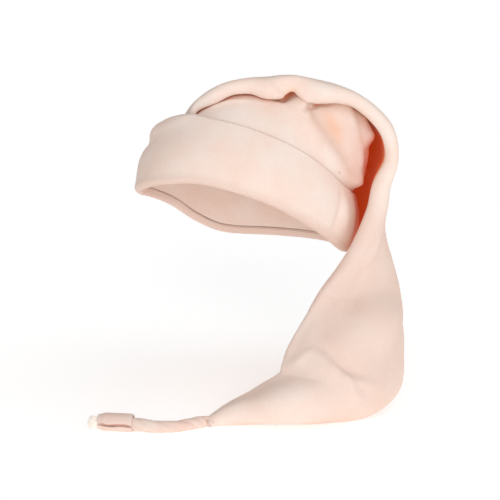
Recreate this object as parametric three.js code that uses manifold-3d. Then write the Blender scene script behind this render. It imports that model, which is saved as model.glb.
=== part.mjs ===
// Stocking cap of velour cloth: a deep bag with a turned-up cuff, whose long tapering tail flops over
// the back left of the crown, hangs down and runs along the surface below to a twisted, wrapped tip.
// Millimetres, +Z up. The wearer faces -Y, the wearer's left is +X.
// The origin is where the top of the head touches the inside of the crown.

import * as THREE from 'three';
import Module from 'manifold-3d';

const wasm = await Module();
wasm.setup();

// ---- driving dimensions -------------------------------------------------------------------------

const headHalfWidth = 76;      // ear to ear, at the widest
const headHalfLength = 97;     // brow to back
const headHeight = 95;         // from the widest level up to the top
const headRoundness = 2.05;    // 2 is an ellipsoid, more is squarer
const headTaper = 0.0009;      // the head narrows by this share for each mm below its widest level
const ease = 1;                // room between head and cloth
const wall = 2.4;              // velour, with its pile
const gap = 0.3;               // between two pieces that touch
const tidyStep = 0.05;         // corners closer than this are merged after a cut
const floorLevel = -265;       // the surface that the tail runs along
const flopAngle = Math.PI / 4; // the tail flops this far from the wearer's left toward the back

const crownLap = 8;            // the crown's lower edge lies this far above the cuff's fold
const columns = 52;            // facets round the head
const crownRows = 16;
const rowCrowding = 0.9;       // below 1, the rows lie closer together toward the top's edge
const crowdedAngle = 118;      // facets are narrower round this angle, where the folds are
const crowding = 30;           // degrees that they are drawn toward it
const foldStart = 5;           // folds begin this far above the cuff's edge
const foldFade = 8;            // and reach their full size over this height
const foldCentre = [0, 0, -60]; // folds push the cloth straight away from here

const cuffStandAtFold = 7.5;   // outer face of the cuff, outside the crown's outer face
const cuffStandAtEdge = 3.6;
const cuffBelly = 5;           // the band bulges between fold and edge
const cuffFoldRadius = 5;
const cuffInnerLeg = 6.5;      // height of the turned-in leg above the fold

const tailSections = 42;
const tailLift = 3.2;          // the tail's outer face clears the crown's outer face by this much
const tailThinner = 1.7;       // but by so much less at its start, where the bag is pressed flat
const thinRows = 2;            // over so many rows of its table
const hollowFrom = 0.06;       // the tail is hollow between these shares of its table
const hollowTo = 0.93;
const rollShare = 0.4;         // each rolled edge swells over this share of the way across
const sideSteps = 6;           // facets along each flat side of the tail's section
const rollSteps = 4;           // facets round each rolled edge

// the mouth of the tail: an oval opening in the crown's wall, under the tail's start
const mouth = { along: 24, across: 14, halfLength: 26, halfWidth: 20 };

const twistTurns = 2.6;
const twistDepth = 0.9;
const tipSections = 24;
const tipSides = 12;

// the strip wrapped round the tip's end, and the two angles (radians) between which it goes round:
// its edges meet in a slit low on the side that faces the wearer's front left
const sleeve = {
  start: -93, end: -124, acrossStart: -119, acrossEnd: -115,
  width: 15, height: 15, thickness: 1.2, roundOff: 0.5,
  slitFrom: 3.6, slitTo: 9.6,
};
const sleeveSteps = 14;
const sleeveRings = 6;

const velourColour = 0xf3d3c5;
const twistedColour = 0xedd0c4;

// ---- tables: a row for each section or fold -----------------------------------------------------
// "along" runs with the flop, toward the wearer's back left; "across" runs level and square to it,
// toward the back right; "up" is +Z.

// angle: degrees round the head from the front toward the wearer's left
// fold, edge: heights of the cuff's bottom fold and of its free upper edge
// stand: how much farther out (or in) the fold stands there
const cuffTable = table('angle fold edge stand', [
  [0, -70, -18, 0],
  [20, -66, -22, 0],
  [40, -73, -27, 0],
  [60, -86, -33, 0],
  [80, -103, -46, 0],
  [100, -120, -64, 0],
  [120, -136, -84, -1],
  [135, -142, -92, -1.5],
  [150, -146, -96, -1],
  [180, -148, -98, 0],
  [210, -147, -94, 0],
  [240, -142, -81, 0],
  [260, -129, -64, 0],
  [280, -111, -46, -1],
  [300, -99, -34, -3],
  [320, -90, -30, -3.5],
  [340, -80, -25, -2],
]);

// each fold runs through its rows: a place on the smooth crown, half width, and how far the cloth
// stands out there (negative: sinks in)
const foldColumns = 'along across up width height';
const browFold = { name: 'brow', rows: table(foldColumns, [[-55, -20, -22, 36, -8], [-60, 30, -24, 36, -8]]) };
const crownFolds = [
  browFold,
  { name: 'bunch', rows: table(foldColumns, [
    [50, -2, -10, 22, 9],
    [62, 2, -25, 22, 16],
    [70, 3, -36, 22, 16],
    [77, 2, -48, 22, 14],
    [81, 0, -58, 21, 12],
    [84, 0, -70, 20, 9],
    [87, -1, -84, 18, 5],
  ]) },
  { name: 'front ridge', rows: table(foldColumns, [
    [37, -13, -8, 7, 8],
    [42, -28, -17, 8, 7],
    [47, -32, -26, 9, 6],
    [59, -33, -41, 10, 5],
    [75, -24, -62, 10, 4],
    [86, -8, -84, 9, 2],
  ]) },
  { name: 'hollow', rows: table(foldColumns, [
    [52, -13, -14, 9, -4],
    [62, -15, -29, 9, -7],
    [71, -15, -45, 9, -5],
    [78, -12, -62, 8, -2],
  ]) },
  { name: 'side ridge', rows: table(foldColumns, [
    [62, -5, -25, 8, 7],
    [69, -6, -34, 8, 6],
    [77, -6, -47, 8, 6],
    [80, -5, -55, 8, 6],
    [84, -5, -67, 8, 5],
    [87, -5, -78, 8, 5],
    [88, -5, -87, 8, 2],
  ]) },
  { name: 'corner', rows: table(foldColumns, [[65, 3, -28, 8, 8], [71, 6, -37, 8, 13], [77, 7, -47, 7, 18]]) },
];

// the flattened bag, from its start low on the front right of the crown to the gathered tip:
// the middles of its near roll, its flat and its far roll, then their half thicknesses
const tailTable = table('n1 n2 n3 m1 m2 m3 f1 f2 f3 nearRoll flat farRoll', [
  [-47, -34, -20, -58, 10, -38, -50, 56, -54, 1.3, 1.3, 1.3],
  [-41, -33, -11, -48, 26, -31, -38, 74, -70, 3.5, 3, 2.5],
  [-28, -34, -3, -34, 36, -27, -26, 80, -80, 6, 5, 4],
  [-14, -33, 4, -16, 40, -23, -12, 84, -84, 6, 5, 4],
  [3, -31, 6, 3, 44, -20, 4, 87, -86, 7, 5, 4],
  [18, -31, 4, 18, 46, -18, 20, 88, -87, 9, 5, 4],
  [28, -26, 7, 31, 46, -17, 32, 88, -87, 7, 5, 4],
  [41, -24, 8, 44, 46, -18, 44, 88, -87, 6, 5, 4],
  [61, -26, 0, 61, 46, -20, 56, 88, -87, 8.5, 6, 4],
  [76, -28, -2, 76, 45, -24, 66, 88, -88, 7, 6, 4.5],
  [91, -29, -7, 90, 45, -31, 74, 89, -90, 6, 5.5, 5],
  [107, -29, -20, 103, 45, -40, 80, 90, -95, 6, 5.5, 5],
  [118, -28, -36, 112, 45, -51, 83, 90, -103, 6, 5.5, 5],
  [121, -27, -57, 115, 43, -69, 84, 90, -112, 6, 6, 5],
  [113, -27, -79, 110, 40, -91, 83, 88, -123, 8, 6, 5],
  [109, -29, -101, 108, 30, -112, 81, 86, -135, 9, 6, 5],
  [98, -38, -123, 113, 10, -133, 88, 72, -147, 8, 6, 5],
  [82, -50, -143, 118, -6, -153, 97, 55, -163, 6.5, 7, 5],
  [65, -66, -161, 121, -28, -172, 109, 32, -181, 6, 8, 5],
  [51, -80, -183, 102, -72, -187, 125, -18, -197, 6, 10, 6],
  [38, -92, -205, 81, -100, -210, 127, -52, -218, 6, 12, 6],
  [33, -96, -223, 76, -112, -230, 122, -72, -243, 6, 12, 6],
  [26, -98, -229, 58, -120, -238, 99, -88, -256, 6, 12, 6],
  [17, -98, -234, 35, -122, -242, 59, -100, -258, 6, 12, 6],
  [3, -99, -241, 12, -118, -247, 19, -104, -258, 5, 9, 5],
  [-14, -101, -249, -9, -112, -251, -7, -105, -260, 4, 7, 4],
  [-31, -104, -259, -31, -106, -259, -31, -108, -260, 4, 5, 4],
]);

// the twisted tip lies on the surface; radius is half its thickness
const tipTable = table('along across radius lift', [
  [-26, -105.4, 2.6, 2.6],
  [-34, -106.4, 3.8, 1.6],
  [-38, -108, 5.6, 0],
  [-44, -111, 5.4, 0],
  [-52, -116, 5.1, 0],
  [-66, -121, 5, 0],
  [-80, -121, 5.3, 0.4],
  [-92, -119, 4.9, 1.7],
  [-110, -117, 4.8, 1.8],
  [-124, -115, 4.6, 2],
  [-132, -113.5, 3.2, 3],
]);

// ---- small helpers ------------------------------------------------------------------------------

// a table of named columns: one object for each row
function table(columns, rows) {
  const names = columns.split(' ');
  return rows.map((row) => Object.fromEntries(names.map((name, i) => [name, row[i]])));
}

// a point from its places along and across the flop and its height
function flop(along, across, up) {
  const c = Math.cos(flopAngle);
  const s = Math.sin(flopAngle);
  return new THREE.Vector3(along * c - across * s, along * s + across * c, up);
}

function easeInOut(x) {
  const t = Math.min(1, Math.max(0, x));
  return t * t * (3 - 2 * t);
}

// one smooth curve through values that stand at given places
function through(places, values, at) {
  const last = places.length - 1;
  let k = 0;
  while (k < last - 1 && at > places[k + 1]) k += 1;
  const slope = (i) => {
    const a = Math.max(0, i - 1);
    const b = Math.min(last, i + 1);
    return (values[b] - values[a]) / (places[b] - places[a]);
  };
  const span = places[k + 1] - places[k];
  const t = (at - places[k]) / span;
  return (2 * t ** 3 - 3 * t ** 2 + 1) * values[k] + (t ** 3 - 2 * t ** 2 + t) * span * slope(k)
    + (3 * t ** 2 - 2 * t ** 3) * values[k + 1] + (t ** 3 - t ** 2) * span * slope(k + 1);
}

// a whole row of a table at a fractional row number
function rowAt(rows, at) {
  const places = rows.map((row, i) => i);
  const names = Object.keys(rows[0]);
  return Object.fromEntries(names.map((name) => [name, through(places, rows.map((row) => row[name]), at)]));
}

// a cuff height at any angle round the head: the rows repeat past both ends of the circle
function cuffHeight(name, angle) {
  const before = cuffTable.slice(-2).map((row) => ({ ...row, angle: row.angle - 360 }));
  const after = cuffTable.slice(0, 2).map((row) => ({ ...row, angle: row.angle + 360 }));
  const rows = [...before, ...cuffTable, ...after];
  return through(rows.map((row) => row.angle), rows.map((row) => row[name]), angle);
}

// triangles whose equal corners are merged; empty triangles are left out
class Skin {
  constructor() {
    this.corners = [];
    this.faces = [];
    this.numbers = new Map();
  }

  corner(point) {
    const key = point.toArray().map((v) => Math.round(v * 1e4)).join();
    if (!this.numbers.has(key)) {
      this.numbers.set(key, this.corners.length);
      this.corners.push(point.clone());
    }
    return this.numbers.get(key);
  }

  triangle(a, b, c) {
    const face = [this.corner(a), this.corner(b), this.corner(c)];
    if (new Set(face).size === 3) this.faces.push(face);
  }

  quad(a, b, c, d) {
    this.triangle(a, b, c);
    this.triangle(a, c, d);
  }

  // six times the enclosed volume, negative when the faces point in
  signedVolume() {
    const at = (face) => face.map((i) => this.corners[i]);
    return this.faces.reduce((sum, face) => {
      const [a, b, c] = at(face);
      return sum + a.dot(b.clone().cross(c));
    }, 0);
  }

  solid() {
    const inward = this.signedVolume() < 0;
    const faces = this.faces.map(([a, b, c]) => (inward ? [a, c, b] : [a, b, c]));
    return new wasm.Manifold(new wasm.Mesh({
      numProp: 3,
      vertProperties: new Float32Array(this.corners.flatMap((p) => p.toArray())),
      triVerts: new Uint32Array(faces.flat()),
    }));
  }
}

// the surface between rings of points, each ring closed; ends may be capped at their middles
function loft(rings, capped) {
  const skin = new Skin();
  const count = rings[0].length;
  for (let j = 0; j + 1 < rings.length; j += 1) {
    for (let i = 0; i < count; i += 1) {
      const n = (i + 1) % count;
      skin.quad(rings[j][i], rings[j][n], rings[j + 1][n], rings[j + 1][i]);
    }
  }
  if (capped) {
    const ends = [rings[0], [...rings[rings.length - 1]].reverse()];
    for (const ring of ends) {
      const middle = ring.reduce((sum, p) => sum.add(p), new THREE.Vector3()).divideScalar(count);
      ring.forEach((p, i) => skin.triangle(ring[(i + 1) % count], p, middle));
    }
  }
  return skin;
}

// the normal at each point of a grid whose rows are closed rings
function gridNormals(rows) {
  const count = rows[0].length;
  return rows.map((row, j) => row.map((point, i) => {
    const above = rows[Math.max(0, j - 1)][i];
    const below = rows[Math.min(rows.length - 1, j + 1)][i];
    const round = row[(i + 1) % count].clone().sub(row[(i + count - 1) % count]);
    if (round.length() < 1e-6) return new THREE.Vector3(0, 0, 1);
    return below.clone().sub(above).cross(round).normalize();
  }));
}

// the largest connected part of a solid that a cut may have left in several
function largest(solid) {
  return solid.decompose().sort((a, b) => b.volume() - a.volume())[0];
}

function piece(name, solid, colour, roughness) {
  const { vertProperties, triVerts } = solid.getMesh();
  const geometry = new THREE.BufferGeometry();
  geometry.setAttribute('position', new THREE.BufferAttribute(new Float32Array(vertProperties), 3));
  geometry.setIndex(new THREE.BufferAttribute(new Uint32Array(triVerts), 1));
  geometry.computeVertexNormals();
  const material = new THREE.MeshStandardMaterial({ color: colour, roughness, metalness: 0 });
  const mesh = new THREE.Mesh(geometry, material);
  mesh.name = name;
  return mesh;
}

// ---- the head's form and the folds --------------------------------------------------------------

// how far out a surface lies that stands off the head by some ease, at an angle and a height
function headRadius(angle, up, standOff) {
  const turn = THREE.MathUtils.degToRad(angle);
  const oval = 1 / Math.hypot(
    Math.sin(turn) / (headHalfWidth + standOff),
    Math.cos(turn) / (headHalfLength + standOff),
  );
  const level = Math.min(1, Math.max(0, (up + headHeight) / (headHeight + standOff)));
  const taper = 1 - headTaper * Math.max(0, -headHeight - up);
  return oval * (1 - level ** headRoundness) ** (1 / headRoundness) * taper;
}

function roundHead(angle, radius, up) {
  const turn = THREE.MathUtils.degToRad(angle);
  return new THREE.Vector3(radius * Math.sin(turn), -radius * Math.cos(turn), up);
}

// the same place, or the one straight out from the head's middle that stands clear of the head
function clearOfHead(place, standOff) {
  const middle = new THREE.Vector3(0, 0, -headHeight);
  const out = place.clone().sub(middle);
  const oval = Math.hypot(out.x / (headHalfWidth + standOff), out.y / (headHalfLength + standOff));
  const level = Math.max(0, out.z) / (headHeight + standOff);
  const share = (oval ** headRoundness + level ** headRoundness) ** (1 / headRoundness);
  return share < 1 ? middle.add(out.divideScalar(share)) : place;
}

// how far one fold pushes a place out: a soft bump along its path
function foldHeight(fold, place) {
  let height = 0;
  for (let i = 0; i + 1 < fold.rows.length; i += 1) {
    const [from, to] = [fold.rows[i], fold.rows[i + 1]];
    const line = new THREE.Line3(flop(from.along, from.across, from.up), flop(to.along, to.across, to.up));
    const t = line.closestPointToPointParameter(place, true);
    const away = line.at(t, new THREE.Vector3()).distanceTo(place);
    const bump = (from.height + (to.height - from.height) * t)
      * Math.exp(-((away / (from.width + (to.width - from.width) * t)) ** 2));
    if (Math.abs(bump) > Math.abs(height)) height = bump;
  }
  return height;
}

// the folds fade out toward the cuff's edge
function foldFading(angle, up) {
  return easeInOut((up - cuffHeight('edge', angle) - foldStart) / foldFade);
}

// how far the crown stands out, or sinks in, where the tail starts on it
function browPush(place) {
  const angle = THREE.MathUtils.radToDeg(Math.atan2(place.x, -place.y));
  return foldHeight(browFold, place) * foldFading((angle + 360) % 360, place.z);
}

// ---- crown --------------------------------------------------------------------------------------

// a place on the crown's outer face: share 0 is the top, 1 the lower edge inside the cuff
function crownPoint(angle, share) {
  const lowest = cuffHeight('fold', angle) + crownLap;
  const highest = ease + wall;
  const up = lowest + (highest - lowest) * Math.cos(share * Math.PI / 2);
  const place = roundHead(angle, headRadius(angle, up, ease + wall), up);
  const push = crownFolds.reduce((sum, fold) => sum + foldHeight(fold, place), 0);
  const away = place.clone().sub(new THREE.Vector3(...foldCentre)).normalize();
  return place.addScaledVector(away, push * foldFading(angle, up));
}

// angles of the facets round the head, closer together where the folds are
function roundAngles() {
  return Array.from({ length: columns }, (unused, i) => {
    const angle = 360 * i / columns;
    return angle - crowding * Math.sin(THREE.MathUtils.degToRad(angle - crowdedAngle));
  });
}

function offsetRows(rows, distance) {
  const normals = gridNormals(rows);
  return rows.map((row, j) => row.map((p, i) => p.clone().addScaledVector(normals[j][i], distance)));
}

function insideMouth(place) {
  const c = Math.cos(flopAngle);
  const s = Math.sin(flopAngle);
  const along = (place.x * c + place.y * s - mouth.along) / mouth.halfLength;
  const across = (place.y * c - place.x * s - mouth.across) / mouth.halfWidth;
  return Math.hypot(along, across) < 1 && place.z > -headHeight / 2;
}

// a wall between two grids of closed rings, left open where a cell is not kept and at the last ring
function walledShell(outer, inner, kept) {
  const skin = new Skin();
  const count = outer[0].length;
  const isKept = (j, i) => j >= 0 && j < outer.length - 1 && kept(j, (i + count) % count);
  for (let j = 0; j + 1 < outer.length; j += 1) {
    for (let i = 0; i < count; i += 1) {
      if (!isKept(j, i)) continue;
      const n = (i + 1) % count;
      skin.quad(outer[j][i], outer[j + 1][i], outer[j + 1][n], outer[j][n]);
      skin.quad(inner[j][i], inner[j][n], inner[j + 1][n], inner[j + 1][i]);
      if (j > 0 && !isKept(j - 1, i)) skin.quad(outer[j][i], outer[j][n], inner[j][n], inner[j][i]);
      if (!isKept(j + 1, i)) skin.quad(outer[j + 1][n], outer[j + 1][i], inner[j + 1][i], inner[j + 1][n]);
      if (!isKept(j, i - 1)) skin.quad(outer[j + 1][i], outer[j][i], inner[j][i], inner[j + 1][i]);
      if (!isKept(j, i + 1)) skin.quad(outer[j][n], outer[j + 1][n], inner[j + 1][n], inner[j][n]);
    }
  }
  return skin;
}

const crownOuter = Array.from({ length: crownRows + 1 }, (unused, j) => (
  roundAngles().map((angle) => crownPoint(angle, (j / crownRows) ** rowCrowding))
));

function makeCrown() {
  const inner = offsetRows(crownOuter, -wall);
  const kept = (j, i) => {
    const next = (i + 1) % columns;
    const middle = crownOuter[j][i].clone().lerp(crownOuter[j + 1][next], 0.5);
    return !insideMouth(middle);
  };
  return walledShell(crownOuter, inner, kept).solid();
}

// all that the crown takes up, with a little air round it
function crownRoom() {
  return loft(offsetRows(crownOuter, gap), true).solid();
}

// ---- cuff ---------------------------------------------------------------------------------------

// the cuff's section at one angle: up its outer face, over the free edge, down its inner face,
// round the inside of the fold to the short leg, and back round the outside of the fold
function cuffSection(angle, air) {
  const fold = cuffHeight('fold', angle);
  const edge = cuffHeight('edge', angle);
  const crownAt = (up) => headRadius(angle, up, ease + wall);
  const outFold = crownAt(fold) + cuffStandAtFold + cuffHeight('stand', angle);
  const outEdge = crownAt(edge) + cuffStandAtEdge;
  const upAt = (share) => fold + cuffFoldRadius + (edge - fold - cuffFoldRadius) * share;
  const outAt = (share) => outFold + (outEdge - outFold) * share + cuffBelly * Math.sin(Math.PI * share);
  const points = [];
  const add = (radius, up) => points.push(roundHead(angle, radius, up));
  const shares = [0, 0.3, 0.65, 1];
  shares.forEach((share) => add(outAt(share) + air, upAt(share)));
  add(outEdge - wall / 2, edge + wall / 2 + air);
  [...shares].reverse().forEach((share) => add(outAt(share) - wall - air, upAt(share)));
  const legOuter = crownAt(fold + crownLap);
  add(legOuter + (outFold - wall - legOuter) / 2, fold + wall + 1);
  add(legOuter, fold + wall + 2);
  add(legOuter, fold + cuffInnerLeg + air);
  add(legOuter - wall, fold + cuffInnerLeg + air);
  add(legOuter - wall - air, fold + wall);
  add(legOuter, fold + 0.6);
  add(legOuter + (outFold - legOuter) / 2, fold - air);
  add(outFold - 1.2 + air, fold + 1.6);
  return points;
}

function cuffRing(air) {
  const sections = roundAngles().map((angle) => cuffSection(angle, air));
  return loft([...sections, sections[0]], false).solid();
}

// ---- tail ---------------------------------------------------------------------------------------

// the loop round a flattened section: how far from near (0) to far (1), and the way out there,
// square to the flat and along it
function flattenedLoop() {
  const loop = [];
  for (let i = 0; i < sideSteps; i += 1) loop.push([i / sideSteps, 1, 0]);
  for (let i = 0; i < rollSteps; i += 1) {
    const turn = Math.PI * i / rollSteps;
    loop.push([1, Math.cos(turn), Math.sin(turn)]);
  }
  for (let i = 0; i < sideSteps; i += 1) loop.push([1 - i / sideSteps, -1, 0]);
  for (let i = 0; i < rollSteps; i += 1) {
    const turn = Math.PI * i / rollSteps;
    loop.push([0, -Math.cos(turn), -Math.sin(turn)]);
  }
  return loop;
}

// weights of near, middle and far at a share of the way across: a parabola through the three
function acrossWeights(share) {
  return [(1 - share) * (1 - 2 * share), 4 * share * (1 - share), share * (2 * share - 1)];
}

function acrossPoint(row, share) {
  const [near, middle, far] = acrossWeights(share);
  const mix = (k) => row[`n${k}`] * near + row[`m${k}`] * middle + row[`f${k}`] * far;
  return flop(mix(1), mix(2), mix(3));
}

function acrossDirection(row, share) {
  const step = 0.01;
  return acrossPoint(row, share + step).sub(acrossPoint(row, share - step)).normalize();
}

// half the tail's thickness: full at the rolled edges, less on the flat between them
function halfThickness(row, share) {
  return row.flat + (row.nearRoll - row.flat) * (1 - easeInOut(share / rollShare))
    + (row.farRoll - row.flat) * easeInOut((share - 1) / rollShare + 1);
}

// one section of the tail, drawn in by an inset for the inside of its wall
function tailSection(at, inset) {
  const last = tailTable.length - 1;
  const row = rowAt(tailTable, at);
  const step = 0.05;
  const before = rowAt(tailTable, Math.max(0, at - step));
  const after = rowAt(tailTable, Math.min(last, at + step));
  return flattenedLoop().map(([share, out, aside]) => {
    const onward = acrossPoint(after, share).sub(acrossPoint(before, share));
    const across = acrossDirection(row, share);
    const outward = onward.cross(across).normalize();
    const half = halfThickness(row, share) - inset;
    const place = acrossPoint(row, share).addScaledVector(outward, out * half).addScaledVector(across, aside * half);
    place.z = Math.max(place.z, floorLevel + inset);
    const lift = tailLift - tailThinner * (1 - easeInOut(at / thinRows));
    const standOff = ease + wall + lift + browPush(place) - inset;
    return out > -0.01 ? clearOfHead(place, standOff) : place;
  });
}

function tailForm(inset, from, to) {
  const last = tailTable.length - 1;
  const sections = Array.from({ length: tailSections + 1 }, (unused, j) => (
    tailSection(last * (from + (to - from) * j / tailSections), inset)
  ));
  return loft(sections, true).solid();
}

function makeTail() {
  const hollow = tailForm(wall, hollowFrom, hollowTo);
  const shell = tailForm(0, 0, 1).subtract(hollow);
  const taken = [crownRoom(), cuffRing(gap), twistedTip(gap)];
  return largest(taken.reduce((solid, room) => solid.subtract(room), shell)).simplify(tidyStep);
}

// ---- tip and its wrapped end --------------------------------------------------------------------

function tipSection(at, air) {
  const row = rowAt(tipTable, at);
  const ahead = rowAt(tipTable, Math.min(tipTable.length - 1, at + 0.05));
  const behind = rowAt(tipTable, Math.max(0, at - 0.05));
  const onward = flop(ahead.along, ahead.across, 0).sub(flop(behind.along, behind.across, 0)).normalize();
  const aside = new THREE.Vector3(0, 0, 1).cross(onward);
  const middle = flop(row.along, row.across, floorLevel + row.lift + row.radius + twistDepth);
  const turned = 2 * Math.PI * twistTurns * at / (tipTable.length - 1);
  return Array.from({ length: tipSides }, (unused, i) => {
    const angle = 2 * Math.PI * i / tipSides;
    const radius = row.radius + air + twistDepth * Math.cos(3 * (angle - turned));
    return middle.clone().addScaledVector(aside, radius * Math.cos(angle))
      .add(new THREE.Vector3(0, 0, radius * Math.sin(angle)));
  });
}

function twistedTip(air) {
  const sections = Array.from({ length: tipSections + 1 }, (unused, j) => (
    tipSection((tipTable.length - 1) * j / tipSections, air)
  ));
  return loft(sections, true).solid();
}

// ---- the small strip of cloth wrapped round the end of the tip ----------------------------------

// a C-shaped section: the strip starts below the slit, goes round the tip and ends above the slit
function sleeveSection(share) {
  const along = sleeve.start + (sleeve.end - sleeve.start) * share;
  const across = sleeve.acrossStart + (sleeve.acrossEnd - sleeve.acrossStart) * share;
  const middle = flop(along, across, floorLevel + sleeve.height / 2);
  const aside = flop(sleeve.acrossEnd - sleeve.acrossStart, sleeve.start - sleeve.end, 0).normalize();
  const drawIn = 1 - sleeve.roundOff * Math.max(0, share - 0.8);
  const points = [];
  const add = (turn, inset) => {
    const half = new THREE.Vector2(sleeve.width / 2 - inset, sleeve.height / 2 - inset).multiplyScalar(drawIn);
    points.push(middle.clone().addScaledVector(aside, half.x * Math.cos(turn))
      .add(new THREE.Vector3(0, 0, half.y * Math.sin(turn))));
  };
  const turnAt = (i) => sleeve.slitFrom + (sleeve.slitTo - sleeve.slitFrom) * i / sleeveSteps;
  for (let i = 0; i <= sleeveSteps; i += 1) add(turnAt(i), 0);
  for (let i = sleeveSteps; i >= 0; i -= 1) add(turnAt(i), sleeve.thickness);
  return points;
}

function makeSleeve() {
  const rings = Array.from({ length: sleeveRings + 1 }, (unused, j) => sleeveSection(j / sleeveRings));
  const skin = loft(rings, false);
  const strips = [rings[0], [...rings[sleeveRings]].reverse()];
  for (const ring of strips) {
    const half = ring.length / 2;
    for (let i = 0; i + 1 < half; i += 1) {
      const [a, b] = [ring[i], ring[i + 1]];
      const [c, d] = [ring[ring.length - 2 - i], ring[ring.length - 1 - i]];
      skin.quad(b, a, d, c);
    }
  }
  return skin.solid();
}

const group = new THREE.Group();
group.add(piece('crown', makeCrown(), velourColour, 0.95));
group.add(piece('cuff', cuffRing(0), velourColour, 0.95));
group.add(piece('tail', makeTail(), velourColour, 0.95));
group.add(piece('tail_tip', twistedTip(0), twistedColour, 0.95));
group.add(piece('end_sleeve', makeSleeve(), twistedColour, 0.95));

export default group;
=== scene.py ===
# %% [markdown]
# # A velour stocking cap
# A stocking cap is one long tapering bag of cloth. Its open end is turned up into a wide cuff, and the
# bag is so long that it flops over the back left of the head, hangs down and trails along the surface
# below to a twisted tip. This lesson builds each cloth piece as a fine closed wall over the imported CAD
# frame, gives it folds from short tables, and finishes it in brushed velour.

import bmesh
import bpy
import numpy as np
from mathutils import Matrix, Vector


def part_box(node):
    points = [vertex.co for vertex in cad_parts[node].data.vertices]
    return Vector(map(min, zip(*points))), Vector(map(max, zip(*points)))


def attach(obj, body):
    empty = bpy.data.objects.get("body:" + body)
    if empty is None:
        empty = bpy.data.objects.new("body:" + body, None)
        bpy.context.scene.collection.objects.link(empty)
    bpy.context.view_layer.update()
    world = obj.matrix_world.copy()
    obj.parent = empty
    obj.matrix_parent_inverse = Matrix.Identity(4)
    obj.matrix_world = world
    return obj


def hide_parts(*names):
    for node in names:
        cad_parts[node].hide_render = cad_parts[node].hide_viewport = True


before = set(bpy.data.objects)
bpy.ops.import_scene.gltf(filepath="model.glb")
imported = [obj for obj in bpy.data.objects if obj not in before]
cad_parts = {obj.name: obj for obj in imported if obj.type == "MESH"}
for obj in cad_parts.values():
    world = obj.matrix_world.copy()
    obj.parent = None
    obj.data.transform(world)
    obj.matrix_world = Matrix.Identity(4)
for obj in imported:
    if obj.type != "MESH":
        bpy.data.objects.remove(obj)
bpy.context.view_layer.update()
cap_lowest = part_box("tail")[0][2]
print("CAD nodes:", ", ".join(sorted(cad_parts)))

# %% [markdown]
# ## Camera
# A long lens from far away keeps the cap's proportions true. The camera looks down a little from the
# wearer's front left, so the cuff, the folds at the crown's side and the trailing tip all show.

# %% Camera
def put_in_scene(name, data):
    """A new object in the scene."""
    made = bpy.data.objects.new(name, data)
    bpy.context.scene.collection.objects.link(made)
    return made


def place_camera(azimuth, elevation, distance, target, lens):
    """A camera on a sphere round a target; azimuth turns from the wearer's front to the left."""
    turn, tilt = np.radians(azimuth), np.radians(elevation)
    back = Vector((np.sin(turn) * np.cos(tilt), -np.cos(turn) * np.cos(tilt), np.sin(tilt)))
    camera = put_in_scene("camera", bpy.data.cameras.new("camera"))
    camera.location = Vector(target) + back * distance
    camera.rotation_euler = (-back).to_track_quat("-Z", "Y").to_euler()
    camera.data.lens = lens
    camera.data.sensor_width = 36
    return camera


camera = place_camera(azimuth=45, elevation=13, distance=1.6, target=(0.0018, 0.0018, -0.1405), lens=133.6)
bpy.context.scene.camera = camera
print("camera at", [round(v, 3) for v in camera.location])

# %% [markdown]
# ## Colours and nodes
# Screens and paint charts give colours in sRGB, while the shader works in linear light, so one function
# turns a hex colour into the shader's numbers. One more adds a node with its settings and links.

# %% Colours and nodes
def colour(hex_code):
    """An sRGB hex colour as linear red, green, blue and alpha."""
    parts = [int(hex_code[k:k + 2], 16) / 255 for k in (1, 3, 5)]
    return (*[v / 12.92 if v <= 0.04045 else ((v + 0.055) / 1.055) ** 2.4 for v in parts], 1.0)


def set_inputs(tree, node, inputs):
    """An input is a number, a colour or another node's output socket."""
    for name, value in inputs.items():
        if isinstance(value, bpy.types.NodeSocket):
            tree.links.new(value, node.inputs[name])
        else:
            node.inputs[name].default_value = value


def add(tree, kind, inputs=None, **settings):
    """Add a node with its settings and links."""
    made = tree.nodes.new(kind)
    for name, value in settings.items():
        setattr(made, name, value)
    set_inputs(tree, made, inputs or {})
    return made


print("a warm white in linear light:", [round(v, 3) for v in colour("#f4e3d9")[:3]])

# %% [markdown]
# ## Floor and light
# Cloth with a pile is judged in soft light: a bright white room that is a little darker toward the
# wearer's right, so the form turns gently. A broad light from the front left models the folds, and a
# weak one from above lifts the floor. The paper glows a little itself, so it stays white.

# %% Floor
def plain_material(name, hex_code, roughness, glow):
    """One colour all over, matt, with a little light of its own where the glow isn't 0."""
    made = bpy.data.materials.new(name)
    made.use_nodes = True
    tree, tint = made.node_tree, colour(hex_code)
    set_inputs(tree, tree.nodes["Principled BSDF"], {
        "Base Color": tint, "Roughness": roughness, "Specular IOR Level": 0.1,
        "Emission Color": tint, "Emission Strength": glow})
    return made


def make_floor(level):
    """A square of white paper, far wider than the cap, at a height in metres."""
    half = 6.0
    mesh = bpy.data.meshes.new("floor")
    corners = [(-half, -half, level), (half, -half, level), (half, half, level), (-half, half, level)]
    mesh.from_pydata(corners, [], [(0, 1, 2, 3)])
    mesh.materials.append(plain_material("matt_white_paper", "#ffffff", 0.9, 0.35))
    put_in_scene("floor", mesh)


PAPER_GAP = 0.0003       # metres between the cap and the paper, so their faces don't meet
make_floor(cap_lowest - PAPER_GAP)
print("floor level", round(cap_lowest - PAPER_GAP, 4))

# %% Light
def soft_sun(name, toward, spread, strength):
    """Even light from one direction; a white surface square to it gets the strength."""
    sun = put_in_scene(name, bpy.data.lights.new(name, "SUN"))
    sun.data.angle = np.radians(spread)
    sun.data.energy = strength * np.pi
    sun.rotation_euler = Vector(toward).to_track_quat("Z", "Y").to_euler()


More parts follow.
